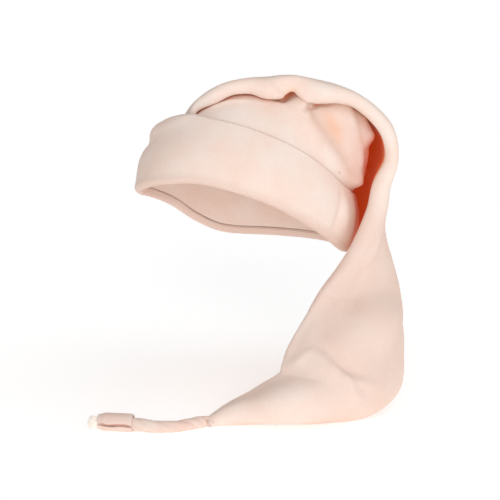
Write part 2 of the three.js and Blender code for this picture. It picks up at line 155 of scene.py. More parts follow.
def soft_room(toward, strength, contrast):
    """A white room, brighter toward one direction; a level floor gets the strength in full."""
    world = bpy.data.worlds.new("room")
    world.use_nodes = True
    tree = world.node_tree
    bright = Vector(toward).normalized()
    where = add(tree, "ShaderNodeTexCoord").outputs["Generated"]
    turned = add(tree, "ShaderNodeVectorMath", {0: where, 1: bright}, operation="DOT_PRODUCT")
    even = strength / (1 + contrast * bright.z * 2 / 3)
    light = add(tree, "ShaderNodeMath", {0: turned.outputs["Value"], 1: contrast * even, 2: even},
                operation="MULTIPLY_ADD")
    set_inputs(tree, tree.nodes["Background"], {"Color": colour("#ffffff"), "Strength": light.outputs[0]})
    bpy.context.scene.world = world


soft_room(toward=(0.75, 0.0, 0.4), strength=0.52, contrast=0.6)
soft_sun("front", toward=(0.72, -0.66, 0.28), spread=35, strength=0.34)
soft_sun("above", toward=(0.6, 0.15, 0.9), spread=50, strength=0.08)
bpy.context.scene.view_settings.view_transform = "Standard"
print("lights:", ", ".join(bpy.data.lights.keys()))

# %% [markdown]
# ## Sizes
# The cap is sized on an adult head. All sizes from here on are millimetres in the frame of the CAD:
# +Z up, the wearer faces -Y, the origin at the head's highest point.

# %% Sizes
MM = 0.001
HEAD_HALF_WIDTH = 76
HEAD_HALF_LENGTH = 97
HEAD_HEIGHT = 95
HEAD_ROUNDNESS = 2.05
HEAD_TAPER = 0.0009
CROWN_STAND = 3.4        # the crown's outer face stands this far off the head
CLOTH = 1.4              # thickness of the velour with its backing
FLOOR = -265.0

# the cuff round the head: angle from the front to the left, heights of its bottom fold and of its free
# upper edge, and how much farther out (or in) its fold stands there
CUFF_TABLE = np.array([
    (0, -70, -16, 0), (20, -66, -18, 0), (40, -73, -22, 0), (60, -86, -30, 0), (80, -103, -42, 0),
    (100, -120, -60, 0), (120, -136, -81, -1), (135, -142, -91, -1.5), (150, -146, -96, -1),
    (180, -148, -98, 0), (210, -147, -94, 0), (240, -142, -81, 0), (260, -129, -64, 0),
    (280, -111, -46, -1), (300, -99, -35, -3), (320, -90, -31, -3.5), (340, -80, -21, -2),
], float)
CUFF_ANGLE, CUFF_FOLD, CUFF_EDGE, CUFF_STAND = CUFF_TABLE.T
print("room for the head, mm:", 2 * HEAD_HALF_WIDTH, "by", 2 * HEAD_HALF_LENGTH)

# %% [markdown]
# ## Small tools
# Every piece starts as a grid of points. A smooth curve through the rows of a table gives the grid its
# form, and a fold is a soft bump or dent along a short path.

# %% Curves and folds
def curve_through(places, values, at, period=None):
    """A smooth curve through values at given places, which may repeat round a circle."""
    places, values, at = (np.asarray(v, float) for v in (places, values, at))
    if period:
        places = np.concatenate([places[-2:] - period, places, places[:2] + period])
        values = np.concatenate([values[-2:], values, values[:2]])
        at = np.mod(at, period)
    slope = np.empty_like(values)
    slope[1:-1] = (values[2:] - values[:-2]) / (places[2:] - places[:-2])
    slope[[0, -1]] = (values[[1, -1]] - values[[0, -2]]) / (places[[1, -1]] - places[[0, -2]])
    k = np.clip(np.searchsorted(places, at, side="right") - 1, 0, len(places) - 2)
    span = places[k + 1] - places[k]
    t = (at - places[k]) / span
    rising = t * t * (3 - 2 * t)
    return (values[k] * (1 - rising) + values[k + 1] * rising
            + span * (slope[k] * (t**3 - 2 * t**2 + t) + slope[k + 1] * (t**3 - t**2)))


def rise(value, start, end):
    """0 up to the start and 1 past the end, eased between them; the end may be the lower one."""
    t = np.clip((value - start) / (end - start), 0, 1)
    return t * t * (3 - 2 * t)


def flop(along, across, up):
    """A point from its place along the flop (toward the back left), across it, and its height."""
    along, across, up = np.broadcast_arrays(*(np.asarray(v, float) for v in (along, across, up)))
    return np.stack([(along - across) * np.sqrt(0.5), (along + across) * np.sqrt(0.5), up], -1)


def stroke(points, path, width, height):
    """How far a fold along a path pushes each point: its widths and heights change along the path."""
    result = np.zeros(points.shape[:-1])
    for start, end, w, h in zip(path[:-1], path[1:], zip(width, width[1:]), zip(height, height[1:])):
        way = end - start
        t = np.clip(((points - start) @ way) / (way @ way), 0, 1)
        away = np.linalg.norm(points - start - t[..., None] * way, axis=-1)
        bump = (h[0] + (h[1] - h[0]) * t) * np.exp(-((away / (w[0] + (w[1] - w[0]) * t)) ** 2))
        result = np.where(np.abs(bump) > np.abs(result), bump, result)
    return result


def lumps(points, size, seed):
    """Gentle unevenness between about -1 and 1, as big as the size in millimetres."""
    count = 7
    chance = np.random.default_rng(seed)
    directions = chance.normal(size=(count, 3))
    directions /= np.linalg.norm(directions, axis=1)[:, None]
    starts = chance.uniform(0, 2 * np.pi, count)
    stretch = chance.uniform(0.7, 1.5, count)
    waves = points @ (directions * (2 * np.pi / size * stretch)[:, None]).T + starts
    return np.sin(waves).sum(-1) / 3


# %% The head's form
def cuff_height(which, angle):
    """One column of the cuff's table, as a smooth curve round the head."""
    return curve_through(CUFF_ANGLE, which, angle, period=360)


def head_radius(angle, up, stand_off):
    """How far out a surface lies that stands off the head, at an angle and a height."""
    turn = np.radians(angle)
    width, length = HEAD_HALF_WIDTH + stand_off, HEAD_HALF_LENGTH + stand_off
    oval = 1 / np.hypot(np.sin(turn) / width, np.cos(turn) / length)
    level = np.clip((up + HEAD_HEIGHT) / (HEAD_HEIGHT + stand_off), 0, 1)
    taper = 1 - HEAD_TAPER * np.maximum(0, -HEAD_HEIGHT - up)
    return oval * (1 - level**HEAD_ROUNDNESS) ** (1 / HEAD_ROUNDNESS) * taper


def round_head(angle, radius, up):
    """Points from their angle round the head, their distance from its axis and their height."""
    turn = np.radians(angle)
    return np.stack([radius * np.sin(turn), -radius * np.cos(turn), np.broadcast_to(up, radius.shape)], -1)


def clear_of_head(points, stand_off, softness=0.012):
    """Points inside a surface that stands off the head come out to it; the change is gradual."""
    out = points - np.array([0, 0, -HEAD_HEIGHT])
    oval = np.hypot(out[..., 0] / (HEAD_HALF_WIDTH + stand_off),
                    out[..., 1] / (HEAD_HALF_LENGTH + stand_off))
    level = np.maximum(0, out[..., 2]) / (HEAD_HEIGHT + stand_off)
    share = (oval**HEAD_ROUNDNESS + level**HEAD_ROUNDNESS) ** (1 / HEAD_ROUNDNESS)
    wanted = (share + 1 + np.sqrt((share - 1) ** 2 + softness**2)) / 2
    pushed = out * (wanted / np.maximum(share, 0.05))[..., None]
    below = rise(out[..., 2:], 0, -10)
    pushed[..., 2:] = pushed[..., 2:] * (1 - below) + out[..., 2:] * below
    return pushed + np.array([0, 0, -HEAD_HEIGHT])


print("crown's half width at its widest, mm:", head_radius(90, -HEAD_HEIGHT, CROWN_STAND).round(1))

# %% [markdown]
# ## From a grid to a wall of cloth
# Cloth has two faces and a thickness. The outer face is the grid, the inner face is the same grid drawn
# in along its normals, and a rim closes the wall wherever the grid ends. A Solidify modifier does much
# the same, but a wall made from the grid itself closes cleanly at the crown's pole.

# %% Grids and faces
def grid_normals(grid):
    """The normal at each point of a grid whose rows are closed rings."""
    down = np.gradient(grid, axis=0)
    round_ring = np.roll(grid, -1, axis=1) - np.roll(grid, 1, axis=1)
    normal = np.cross(down, round_ring)
    length = np.linalg.norm(normal, axis=-1, keepdims=True)
    return np.where(length > 1e-9, normal / np.maximum(length, 1e-9), [0, 0, 1.0])


def numbered(grid):
    """The number of each point of a grid."""
    return np.arange(grid[..., 0].size).reshape(grid.shape[:2])


def tube_faces(number):
    """Quads between the rows of a grid of point numbers whose rows are closed rings."""
    beside = np.roll(number, -1, axis=1)
    return np.stack([number[:-1], number[1:], beside[1:], beside[:-1]], -1).reshape(-1, 4).tolist()


def wall_faces(outer, closed_top):
    """Faces of the outer grid, of the inner grid, and of the rims where the wall ends."""
    number = numbered(outer)
    inner = number.size
    outside = tube_faces(number)
    faces = outside + [[a + inner, d + inner, c + inner, b + inner] for a, b, c, d in outside]
    top, bottom = (number[0], np.roll(number[0], -1)), (np.roll(number[-1], -1), number[-1])
    for first, second in (bottom,) if closed_top else (top, bottom):
        faces += np.stack([first, second, second + inner, first + inner], -1).tolist()
    return faces


# %% Walls of cloth
def make_mesh(name, points, faces, material):
    """A smooth mesh in metres with outward faces; empty edges at a pole are merged away."""
    mesh = bpy.data.meshes.new(name)
    mesh.from_pydata((points.reshape(-1, 3) * MM).tolist(), [], faces)
    mesh.validate()
    piece = put_in_scene(name, mesh)
    close_up(piece)
    mesh.materials.append(material)
    mesh.shade_smooth()
    print(f"{name}: {len(mesh.polygons)} faces")
    return piece


def close_up(piece):
    """Merge points that coincide, and turn the faces out if the enclosed volume is negative."""
    work = bmesh.new()
    work.from_mesh(piece.data)
    bmesh.ops.remove_doubles(work, verts=work.verts, dist=2e-6)
    if work.calc_volume(signed=True) < 0:
        bmesh.ops.reverse_faces(work, faces=work.faces)
    work.to_mesh(piece.data)
    work.free()


def cloth_wall(name, outer, thickness, material, closed_top=False):
    """A wall of cloth whose outer face is a grid of closed rings."""
    normals = grid_normals(outer)
    outward = np.sign(np.sum(normals * (outer - outer.mean(axis=1, keepdims=True))))
    inner = outer - normals * outward * thickness
    return make_mesh(name, np.concatenate([outer, inner]), wall_faces(outer, closed_top), material)


# %% Marks on a mesh
def mark(piece, name, values):
    """Store a number from 0 to 1 at each point, for the material to read."""
    attribute = piece.data.attributes.new(name, "FLOAT", "POINT")
    attribute.data.foreach_set("value", np.clip(values, 0, 1).astype(np.float32))


def mesh_points(piece):
    """The piece's points in millimetres: along the flop, across it, and up."""
    flat = np.empty(len(piece.data.vertices) * 3, np.float32)
    piece.data.vertices.foreach_get("co", flat)
    x, y, up = flat.reshape(-1, 3).T / MM
    return (x + y) * np.sqrt(0.5), (y - x) * np.sqrt(0.5), up


def facing(piece, along, across, up):
    """How squarely each point of a piece looks at a place, from -1 to 1."""
    normals = np.empty(len(piece.data.vertices) * 3, np.float32)
    piece.data.vertex_normals.foreach_get("vector", normals)
    way = flop(along, across, up) - flop(*mesh_points(piece))
    way /= np.linalg.norm(way, axis=-1, keepdims=True)
    return (normals.reshape(-1, 3) * way).sum(-1)


def cap_ride(piece, node):
    """Every piece rides with the one body and stands in for its CAD node, which is hidden."""
    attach(piece, "root")
    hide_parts(node)


# %% [markdown]
# ## Velour
# Cotton velour is a knit whose loops are sheared to a short upright pile. Looked at straight it is matt
# and a little mottled, because hands brush the pile in different directions; where it turns away the
# pile tips catch light in a pale sheen. In a hollow light bounces from cloth to cloth and comes back
# warmer, a narrow crease is darker, and between two layers the only light is what comes through them.
# Hair could stand for the pile, but fibres this short never show one by one, so tints, a fine bump and a
# little sheen do the work. The warm hollows, the dark creases and lower parts, the glow between layers and
# the pale corner are painted light and shade: tints, and an emission for the glow.

# %% Tints of the velour
VELOUR = {
    "lit": "#f4e3d9",          # brushed toward the light
    "brushed": "#f2d8ca",      # brushed away from it
    "lower_shade": "#e4c8ba",      # painted shade, lower down the hanging cloth and toward the cuff's fold
    "painted_highlight": "#fffaf5",       # painted highlight on a sharp bulge
    "hollow": "#f2bc97",       # painted light bounced from cloth to cloth
    "crease": "#dc7850",       # painted shade deep in a narrow fold
    "between": "#da5a12",      # painted shade between two layers
    "through": "#e8500c",      # painted glow for the light that comes through them
}
print("velour tints:", ", ".join(VELOUR))

# %% Velour
def lay_over(tree, base, layers):
    """Lay tints over a base one by one; a layer is the share of it that shows, and its tint."""
    for share, tint in layers:
        base = add(tree, "ShaderNodeMix", {"Factor": share, "A": base, "B": tint},
                   data_type="RGBA").outputs[2]
    return base


def velour(name, colours, pile):
    """Sheared velour: brushed patches, painted bounce light and shade in folds, a painted highlight and glow
    where marked, fine pile in the bump.
    """
    made = bpy.data.materials.new(name)
    made.use_nodes = True
    tree = made.node_tree
    tint = {key: colour(value) for key, value in colours.items()}
    where = add(tree, "ShaderNodeTexCoord").outputs["Object"]
    height = add(tree, "ShaderNodeSeparateXYZ", {"Vector": where}).outputs["Z"]
    patches, grain = (
        add(tree, "ShaderNodeTexNoise", {"Vector": where, "Scale": 1 / size, "Detail": detail,
                                         "Roughness": roughness}).outputs["Fac"]
        for size, detail, roughness in ((0.035, 3.0, 0.55), (pile, 2.0, 0.6)))
    painted_lower_shade, painted_bounce, painted_highlight, shade = (
        add(tree, "ShaderNodeAttribute", attribute_name=mark_name).outputs["Fac"]
        for mark_name in ("painted_lower_shade", "painted_bounce", "painted_highlight", "shade"))
    open_round, open_near = (       # how open the surface is within so many metres
        add(tree, "ShaderNodeAmbientOcclusion", {"Distance": distance}, samples=10).outputs["AO"]
        for distance in (0.05, 0.007))
    ranges = (
        # what is read, from, to, and what that becomes
        (patches, 0.35, 0.68, 0.0, 1.0),
        (grain, 0.3, 0.7, 0.955, 1.03),
        (height, -0.255, -0.205, 0.0, 1.0),
        (open_round, 0.3, 0.06, 0.0, 0.3),
        (open_near, 0.2, 0.03, 0.0, 0.8),
        (shade, 0.0, 1.0, 0.0, 0.19),
    )
    brushed, speck, off_paper, hollow, pinch, glow = (
        add(tree, "ShaderNodeMapRange", {"Value": value, "From Min": low, "From Max": high,
                                         "To Min": at_low, "To Max": at_high}).outputs["Result"]
        for value, low, high, at_low, at_high in ranges)
    # painted bounce light in hollows and painted shade in narrow creases, both faded out near the paper
    warmest = add(tree, "ShaderNodeMath", {0: hollow, 1: painted_bounce}, operation="MAXIMUM").outputs[0]
    warm, creased = (
        add(tree, "ShaderNodeMath", {0: closed, 1: off_paper}, operation="MULTIPLY").outputs[0]
        for closed in (warmest, pinch))
    nap = lay_over(tree, tint["lit"], ((brushed, tint["brushed"]), (painted_lower_shade, tint["lower_shade"])))
    nap = add(tree, "ShaderNodeMix", {"Factor": 1.0, "A": nap, "B": speck}, data_type="RGBA",
              blend_type="MULTIPLY").outputs[2]
    base = lay_over(tree, nap, ((warm, tint["hollow"]), (creased, tint["crease"]), (painted_highlight, tint["painted_highlight"]),
                                (shade, tint["between"])))
    bump = add(tree, "ShaderNodeBump", {"Height": grain, "Strength": 0.35, "Distance": 0.0006})
    # the emission is a painted glow where the shade mark is, in place of light that comes through the cloth
    set_inputs(tree, tree.nodes["Principled BSDF"], {
        "Base Color": base, "Normal": bump.outputs["Normal"],
        "Roughness": 0.95, "Specular IOR Level": 0.15,
        "Sheen Weight": 0.13, "Sheen Roughness": 0.5, "Sheen Tint": colour("#ffe4d2"),
        "Emission Color": tint["through"], "Emission Strength": glow})
    return made


# %% The cap's two cloths
# single pile fibres are too fine to show, so tufts of them just under a millimetre are drawn instead
peach_velour = velour("peach_velour", VELOUR, pile=0.0009)
twisted_velour = velour("twisted_peach_velour", dict(VELOUR, lit="#ebd8cd", brushed="#e6cabd"), pile=0.0007)
print("cloths:", peach_velour.name, "and", twisted_velour.name)

# %% [markdown]
# ## Crown
# The crown is the part of the bag that the head fills. Its folds could be simulated or sculpted, but a
# grid that short tables push in and out gives the same folds on every run, each where it is wanted. Its
# rings run from the top down to the cuff's fold, with more columns at the left where the cloth bunches.
# Each fold is a path on the smooth crown with a half width and a height; negative heights sink in.

# %% Folds of the crown
CROWN_FOLDS = {
    # along, across, up, half width, height
    "brow": [(-55, -20, -22, 36, -8), (-60, 30, -24, 36, -8)],
    "bunch": [(50, -2, -10, 22, 9), (62, 2, -25, 22, 16), (70, 3, -36, 22, 16), (77, 2, -48, 22, 14),
              (81, 0, -58, 21, 12), (84, 0, -70, 20, 9), (87, -1, -84, 18, 5)],
    "front ridge": [(41, -14, -9, 7, 10), (43, -27, -17, 8, 6), (47, -32, -26, 10, 4.5),
                    (59, -33, -41, 11, 3.5), (75, -24, -62, 10, 3), (86, -8, -84, 9, 2)],
    "hollow": [(52, -13, -14, 9, -1), (62, -15, -29, 9, -3), (71, -15, -45, 9, -2.5), (78, -12, -62, 8, -1)],
    "side ridge": [(62, -5, -25, 8, 7), (69, -6, -34, 8, 6), (77, -6, -47, 8, 6), (80, -5, -55, 8, 6),
                   (84, -5, -67, 8, 5), (87, -5, -78, 8, 5), (88, -5, -87, 8, 2)],
    "corner": [(65, 3, -28, 8, 10), (71, 6, -37, 8, 16), (77, 7, -47, 7, 18)],
    "under corner": [(82, 10, -59, 8, 11), (86, 10, -70, 8, 8), (88, 9, -80, 8, 4)],
    "between ridges": [(65, 1, -27, 4, -2), (71, 1, -37, 4, -3), (77, 1, -47, 4, -2)],
    "pocket": [(24, -25, -6, 3, -3), (28, -20, -6, 5, -9), (32, -15, -6, 5, -11), (36, -13, -7, 3, -4)],
    "slot": [(51, -11, -15, 1.5, -2), (54, -8, -17, 2, -6), (57, -7, -19, 2, -4)],
    "tuck": [(43, -28, -18, 1.8, -2), (47, -20, -17, 1.8, -2.5), (52, -12, -18, 1.8, -2.5)],
    "under roll": [(-38, -34, -14, 3, 0.8), (-28, -37, -9, 3, 1.2), (-14, -37, -4, 3, 1),
                   (3, -37, -3, 3, 0.8), (16, -36, -5, 3, 0.4)],
}

# where the crown gets painted bounce light, a painted highlight and painted shade: the same kind of
# tables, with points on the folded crown and a share from 0 to 1 in place of the height
CROWN_PAINTED_BOUNCE = {
    "hollow": [(64, -13, -20, 4, 0.2), (68, -13, -25, 6, 0.5), (73, -14, -34, 8, 0.6),
               (77, -15, -43, 6, 0.35), (80, -14, -55, 5, 0.1)],
    "pocket": [(28, -14, -8, 5, 0.6), (34, -12, -4, 6, 0.9), (39, -13, -2, 5, 0.8)],
    "slot": [(55, -10, -13, 4, 0.4), (60, -6, -12, 4, 0.5)],
}
CROWN_PAINTED_HIGHLIGHT = {
    "corner": [(87, -6, -19, 4, 0.2), (90, -6, -26, 5, 0.7), (96, -2, -34, 7, 0.95), (101, 1, -40, 7, 0.95),
               (106, 5, -42, 5, 0.9)],
    "side ridge": [(94, -6, -40, 5, 0.3), (97, -6, -49, 5, 0.7), (98, -7, -59, 5, 0.7),
                   (97, -8, -69, 5, 0.4)],
}
CROWN_SHADE = {
    "pocket": [(28, -14, -8, 2.5, 0.2), (32, -12, -5, 4, 0.45), (39, -13, -2, 4, 0.4)],
    "tuck": [(46, -26, -14, 1.5, 0.4), (51, -17, -14, 1.2, 0.2)],
    "slot": [(58, -7, -13, 2.5, 0.45), (62, -5, -12, 3, 0.3)],
}


def fold_push(points, folds):
    """All the folds of a table together, as a push in millimetres."""
    push = np.zeros(points.shape[:-1])
    for fold in folds.values():
        table = np.array(fold, float)
        push += stroke(points, flop(*table[:, :3].T), table[:, 3], table[:, 4])
    return push


def fold_fading(angle, up):
    """Folds fade out toward the cuff's edge."""
    return rise(up - cuff_height(CUFF_EDGE, angle), -1.5, 11.5)


print("folds of the crown:", ", ".join(CROWN_FOLDS))

# %% Crown grid
CROWN_COLUMNS = 280
CROWN_ROWS = 168
CROWN_LAP = 8            # the crown ends this far above the cuff's fold
CROWDED_ANGLE = 118      # columns are closer together round this angle
CROWDING = 36            # degrees that they are drawn toward it
DENT_REACH = 20          # dents go on this far below the place where ridges fade out
CROWN_CENTRE = [0, 0, -60]


def crown_grid():
    """Rings from the top down to the lap, smooth first, then pushed in and out by the folds."""
    angle = (np.arange(CROWN_COLUMNS) * 360 / CROWN_COLUMNS)[None, :]
    angle = angle - CROWDING * np.sin(np.radians(angle - CROWDED_ANGLE))
    share = (np.arange(CROWN_ROWS + 1) / CROWN_ROWS)[:, None] ** 0.9
    lowest = cuff_height(CUFF_FOLD, angle) + CROWN_LAP
    up = lowest + (CROWN_STAND - lowest) * np.cos(share * np.pi / 2)
    angle = np.broadcast_to(angle, up.shape)
    smooth = round_head(angle, head_radius(angle, up, CROWN_STAND), up)
    away = smooth - np.array(CROWN_CENTRE)
    away /= np.linalg.norm(away, axis=-1, keepdims=True)
    push = fold_push(smooth, CROWN_FOLDS)
    push *= np.where(push > 0, fold_fading(angle, up), fold_fading(angle, up + DENT_REACH))
    push += 0.2 * lumps(smooth, size=38, seed=5)
    push[0] = push[0].mean()
    return smooth + away * push[..., None]


crown = cloth_wall("crown_cloth", crown_grid(), CLOTH, peach_velour, closed_top=True)


# %% Painted shade, glow, bounce light and highlight on the crown
def mark_crown():
    """Painted shade, glow and bounce light behind the folds at the side and in the pockets; a painted
    highlight on the corner.
    """
    along, across, up = mesh_points(crown)
    points = flop(along, across, up)
    below_corner = -46 + 0.75 * (along - 99) - up
    behind = 0.85 * rise(across, -1, 10) * rise(below_corner, 0, 3) * rise(along, 70, 82)
    behind = behind * (facing(crown, 0, 0, -90) < 0)
    mark(crown, "shade", 0.55 * behind + fold_push(points, CROWN_SHADE))
    mark(crown, "painted_bounce", behind + fold_push(points, CROWN_PAINTED_BOUNCE))
    mark(crown, "painted_highlight", fold_push(points, CROWN_PAINTED_HIGHLIGHT))


mark_crown()
cap_ride(crown, "crown")
print("marks:", ", ".join(a.name for a in crown.data.attributes if a.data_type == "FLOAT"))

# %% [markdown]
# ## Cuff
# The cuff is the bag's open end turned up outside the crown. A thin band with a thickness would do if it
# were level and flat, but this one dips toward the back, bellies out and shows a thick round fold. So
# its section is drawn as one strip of cloth, from the free upper edge down the outer face, round the
# fold at the bottom and a little way up inside, and stands at every column round the head.

# %% Cuff section
CUFF_CLOTH = 2.4
STAND_AT_FOLD = 7.5
STAND_AT_EDGE = 3.6
CUFF_BELLY = 5.0
FOLD_RADIUS = 5.0
INNER_LEG = 6.5


def cuff_line(angle):
    """The middle line of the cuff's cloth at each angle: radius and height, edge first."""
    fold, edge = cuff_height(CUFF_FOLD, angle), cuff_height(CUFF_EDGE, angle)
    stand = STAND_AT_FOLD + cuff_height(CUFF_STAND, angle)
    out_fold = head_radius(angle, fold, CROWN_STAND) + stand - CUFF_CLOTH / 2
    out_edge = head_radius(angle, edge, CROWN_STAND) + STAND_AT_EDGE - CUFF_CLOTH / 2
    leg = head_radius(angle, fold + CROWN_LAP, CROWN_STAND) - CUFF_CLOTH / 2
    share = np.linspace(1, 0, 44)[:, None]
    face_r = out_fold + (out_edge - out_fold) * share + CUFF_BELLY * np.sin(np.pi * share)
    face_z = fold + FOLD_RADIUS + (edge - fold - FOLD_RADIUS) * share
    turn = np.linspace(0, np.pi, 17)[1:, None]
    fold_r = (out_fold + leg) / 2 + (out_fold - leg) / 2 * np.cos(turn)
    fold_z = fold + FOLD_RADIUS - (FOLD_RADIUS - CUFF_CLOTH / 2) * np.sin(turn)
    leg_share = np.linspace(0, 1, 4)[1:, None]
    leg_z = fold + FOLD_RADIUS + (INNER_LEG - FOLD_RADIUS) * leg_share
    return (np.concatenate([face_r, fold_r, np.broadcast_to(leg, leg_z.shape)]),
            np.concatenate([face_z, fold_z, leg_z]))


def cuff_section(angle):
    """The closed outline round the middle line, half the cloth's thickness to each side."""
    radius, up = cuff_line(angle)
    dr, dz = np.gradient(radius, axis=0), np.gradient(up, axis=0)
    scale = CUFF_CLOTH / 2 / np.hypot(dr, dz)
    dr, dz = dr * scale, dz * scale
    outside, inside = (radius - dz, up + dr), ((radius + dz)[::-1], (up - dr)[::-1])
    end = np.linspace(np.pi, 0, 7)[1:-1, None]
    foot, edge = ((radius[k] + way * (dr[k] * np.sin(end) - dz[k] * np.cos(end)),
                   up[k] + way * (dz[k] * np.sin(end) + dr[k] * np.cos(end)))
                  for k, way in ((-1, 1), (0, -1)))
    return [np.concatenate(parts) for parts in zip(outside, foot, inside, edge)]


print("points round the cuff's section:", len(cuff_section(np.zeros((1, 1)))[0]))

# %% Dents of the cuff
CUFF_DENTS = {
    # along, across, up, half width, height
    "flare": [(-52, -44, -18, 7, 2), (-64, -37, -22, 8, 2.5), (-74, -20, -29, 10, 4.5), (-76, 0, -35, 10, 6),
              (-70, 18, -37, 9, 3.5), (-60, 34, -44, 8, 1)],
    "right side": [(-79, -38, -56, 14, 1), (-85, -10, -60, 14, 2), (-82, 20, -64, 14, 1)],
    "notch": [(-79, -32, -43, 4, -1), (-84, -6, -46, 4, -1.5)],
    "crease": [(80, -62, -110, 4, -1.6), (92, -44, -128, 4, -2.2)],
    "side seam": [(79, -36, -84, 4, -1), (78, -43, -98, 4, -1.8), (75, -50, -112, 5, -0.8)],
    "side bulge": [(84, -34, -96, 7, 1.2), (84, -34, -110, 7, 1.2)],
    "behind bulge": [(95, 4, -100, 10, -1.5), (96, 5, -114, 11, -4.5), (94, 3, -130, 11, -4.5)],
    "wrinkle": [(48, -76, -100, 2.5, -0.4), (60, -70, -108, 2.5, -0.8)],
    "lower wrinkle": [(56, -72, -114, 2.5, -0.9), (68, -64, -112, 2.5, -1.1)],
}
print("dents of the cuff:", ", ".join(CUFF_DENTS))

# %% Cuff
CUFF_COLUMNS = 420


def solid_ring(name, rings, material):
    """A solid swept round in a circle from closed sections, one section for each column."""
    number = numbered(rings)
    return make_mesh(name, rings, tube_faces(np.vstack([number, number[:1]])), material)


def cuff_rings():
    """The cuff's section at every column, pushed out and in by its dents."""
    angle = (np.arange(CUFF_COLUMNS) * 360 / CUFF_COLUMNS)[None, :]
    radius, up = cuff_section(angle)
    points = round_head(np.broadcast_to(angle, radius.shape), radius, up)
    out = round_head(np.broadcast_to(angle, radius.shape), np.ones_like(radius), 0)
    push = fold_push(points, CUFF_DENTS) + 0.3 * lumps(points, size=46, seed=8)
    return points + out * push[..., None]


def mark_cuff():
    """Painted shade: a little all over the cuff, and more toward its fold."""
    along, across, up = mesh_points(cuff)
    angle = np.degrees(np.arctan2(along - across, -along - across))
    mark(cuff, "painted_lower_shade", 0.15 + 0.75 * rise(up - cuff_height(CUFF_FOLD, angle), 12, 1))


cuff = solid_ring("cuff_cloth", cuff_rings(), peach_velour)
mark_cuff()
cap_ride(cuff, "cuff")

# %% [markdown]
# ## Tail
# The rest of the bag lies flat like an empty sleeve. A cloth simulation could let it fall, but it would
# come to rest in a way of its own, so three rails give it its form, near, middle and far, each with half
# a thickness, and a section is a flattened loop round them. It starts above the cuff at the front right,
# lies over the back of the crown, flops off at the back left, hangs, turns forward and runs along the
# surface to where it is gathered.

# %% Rails of the tail
TAIL_RAILS = np.array([
    # near (along, across, up), middle, far, half thickness at near roll, flat, far roll
    (-47, -34, -20, -58, 10, -38, -50, 56, -54, 1.3, 1.3, 1.3),
    (-41, -33, -11, -48, 26, -31, -38, 74, -70, 3.5, 3, 2.5),
    (-28, -34, -3, -34, 36, -27, -26, 80, -80, 6, 5, 4),
    (-14, -33, 4, -16, 40, -23, -12, 84, -84, 6, 5, 4),
    (3, -31, 6, 3, 44, -20, 4, 87, -86, 7, 5, 4),
    (18, -31, 4, 18, 46, -18, 20, 88, -87, 9, 5, 4),
    (28, -26, 7, 31, 46, -17, 32, 88, -87, 7, 5, 4),
    (41, -24, 8, 44, 46, -18, 44, 88, -87, 6, 5, 4),
    (61, -26, 0, 61, 46, -20, 56, 88, -87, 8.5, 6, 4),
    (76, -28, -2, 76, 45, -24, 66, 88, -88, 7, 6, 4.5),
    (91, -29, -7, 90, 45, -31, 74, 89, -90, 6, 5.5, 5),
    (107, -29, -20, 103, 45, -40, 80, 90, -95, 6, 5.5, 5),
    (118, -28, -36, 112, 45, -51, 83, 90, -103, 6, 5.5, 5),
    (121, -27, -57, 115, 43, -69, 84, 90, -112, 6, 6, 5),
    (113, -27, -79, 110, 40, -91, 83, 88, -123, 8, 6, 5),
    (109, -29, -101, 108, 30, -112, 81, 86, -135, 9, 6, 5),
    (98, -38, -123, 114, 10, -133, 90, 72, -147, 8, 6, 5),
    (82, -50, -143, 119, -6, -153, 101, 55, -163, 6.5, 7, 5),
    (65, -66, -161, 119, -28, -172, 115, 26, -181, 6, 8, 5),
    (51, -80, -183, 108, -72, -187, 126, -20, -197, 6, 10, 6),
    (38, -92, -205, 81, -100, -210, 127, -52, -218, 6, 12, 6),
    (33, -96, -223, 76, -112, -230, 122, -72, -243, 6, 12, 6),
    (26, -98, -229, 58, -120, -238, 99, -88, -256, 6, 12, 6),
    (17, -98, -234, 35, -122, -242, 59, -100, -258, 6, 12, 6),
    (3, -99, -241, 12, -118, -247, 19, -104, -258, 5, 9, 5),
    (-14, -101, -249, -9, -112, -251, -7, -105, -260, 4, 7, 4),
    (-31, -105, -260.5, -31, -107, -260.5, -31, -109, -260.5, 3.6, 4.4, 3.6),
], float)
TAIL_LIFT = 3.2          # the tail's outer face clears the crown's by this much
TAIL_THINNER = 1.7       # but by so much less at its start, where the bag is pressed flat
UNDER_LIFT = 0.4         # and its underside by this much
CUFF_LIFT = 9            # both stand out this much more where they pass over the cuff


def rails(at):
    """The three rails and three half thicknesses at fractional rows of the table."""
    rows = np.arange(len(TAIL_RAILS))
    values = np.stack([curve_through(rows, TAIL_RAILS[:, k], at) for k in range(12)], -1)
    lines = [flop(values[..., k], values[..., k + 1], values[..., k + 2]) for k in (0, 3, 6)]
    return lines + [values[..., k] for k in (9, 10, 11)]


print("rows of rails:", len(TAIL_RAILS))

# %% Sections of the tail
SIDE_STEPS = 62
ROLL_STEPS = 18
ROLL_SHARE = 0.4         # each rolled edge swells over this share of the way across


def flattened_loop():
    """Round a section: how far across from near to far, how far out, and how far past the edge."""
    side = np.arange(SIDE_STEPS) / SIDE_STEPS
    turn = np.pi * np.arange(ROLL_STEPS) / ROLL_STEPS
    flat, edge = np.ones(SIDE_STEPS), np.ones(ROLL_STEPS)
    share = np.concatenate([side, edge, 1 - side, 0 * edge])
    out = np.concatenate([flat, np.cos(turn), -flat, -np.cos(turn)])
    aside = np.concatenate([0 * flat, np.sin(turn), 0 * flat, -np.sin(turn)])
    return share, out, aside


def across_place(near, middle, far, share):
    """A parabola through the three rails."""
    return (near * ((1 - share) * (1 - 2 * share))[..., None] + middle * (4 * share * (1 - share))[..., None]
            + far * (share * (2 * share - 1))[..., None])


